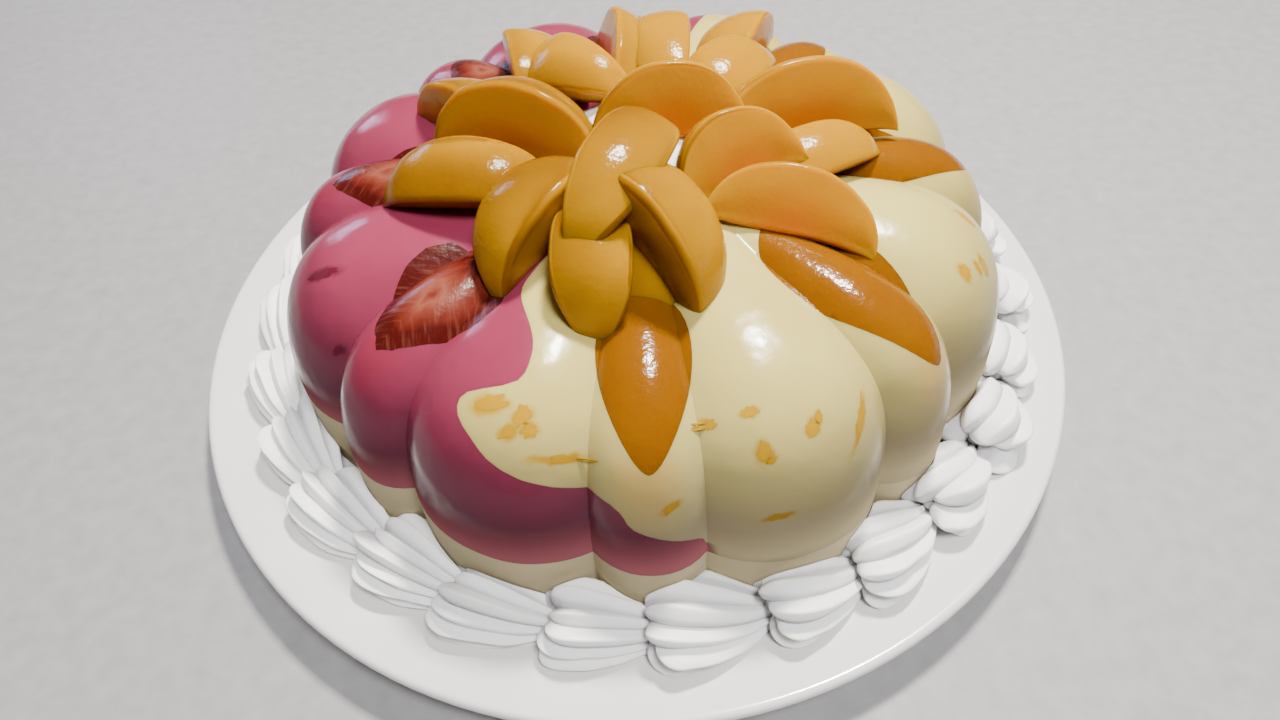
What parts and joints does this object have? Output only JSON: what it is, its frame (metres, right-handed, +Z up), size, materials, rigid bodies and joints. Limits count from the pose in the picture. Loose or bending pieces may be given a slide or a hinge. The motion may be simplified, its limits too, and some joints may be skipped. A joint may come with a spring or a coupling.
{
  "type": "moulded jelly",
  "caption": "Ring-moulded milk jelly in pink and white with fruit set in its flutes, peach slices heaped on the crown and a border of piped cream, on its round plate.",
  "frame": {"origin": "middle of the plate's foot, on the table", "axes": "+Z up; the front of the jelly, where the pink meets the white, faces -Y; the pink half is towards -X"},
  "size_m": [0.32, 0.3194, 0.1204],
  "materials": {
    "plate": "glazed white ceramic",
    "pink": "wet smooth jelly, pink",
    "white": "wet smooth jelly, milky",
    "base": "wet translucent jelly",
    "peach": "wet peach flesh",
    "inlay": "wet peach flesh",
    "strawberry": "cut strawberry",
    "cream": "piped whipped cream"
  },
  "bodies": {
    "root": {"plate": "plate", "jelly_base": "base", "jelly_pink": "pink", "jelly_white": "white", "peach_inlay_front": "inlay", "peach_inlay_right": "inlay", "peach_inlay_side": "inlay", "peach_inlay_back": "inlay", "strawberry_inlay_back": "strawberry", "strawberry_inlay_far": "strawberry", "strawberry_inlay_side": "strawberry", "strawberry_inlay_front": "strawberry", "peach_01": "peach", "peach_02": "peach", "peach_03": "peach", "peach_04": "peach", "peach_05": "peach", "peach_06": "peach", "peach_07": "peach", "peach_08": "peach", "peach_09": "peach", "peach_10": "peach", "peach_11": "peach", "peach_12": "peach", "peach_13": "peach", "peach_14": "peach", "peach_15": "peach", "peach_16": "peach", "peach_17": "peach", "peach_18": "peach", "peach_19": "peach", "cream_centre": "cream", "cream_border": "cream"}
  },
  "joints": []
}
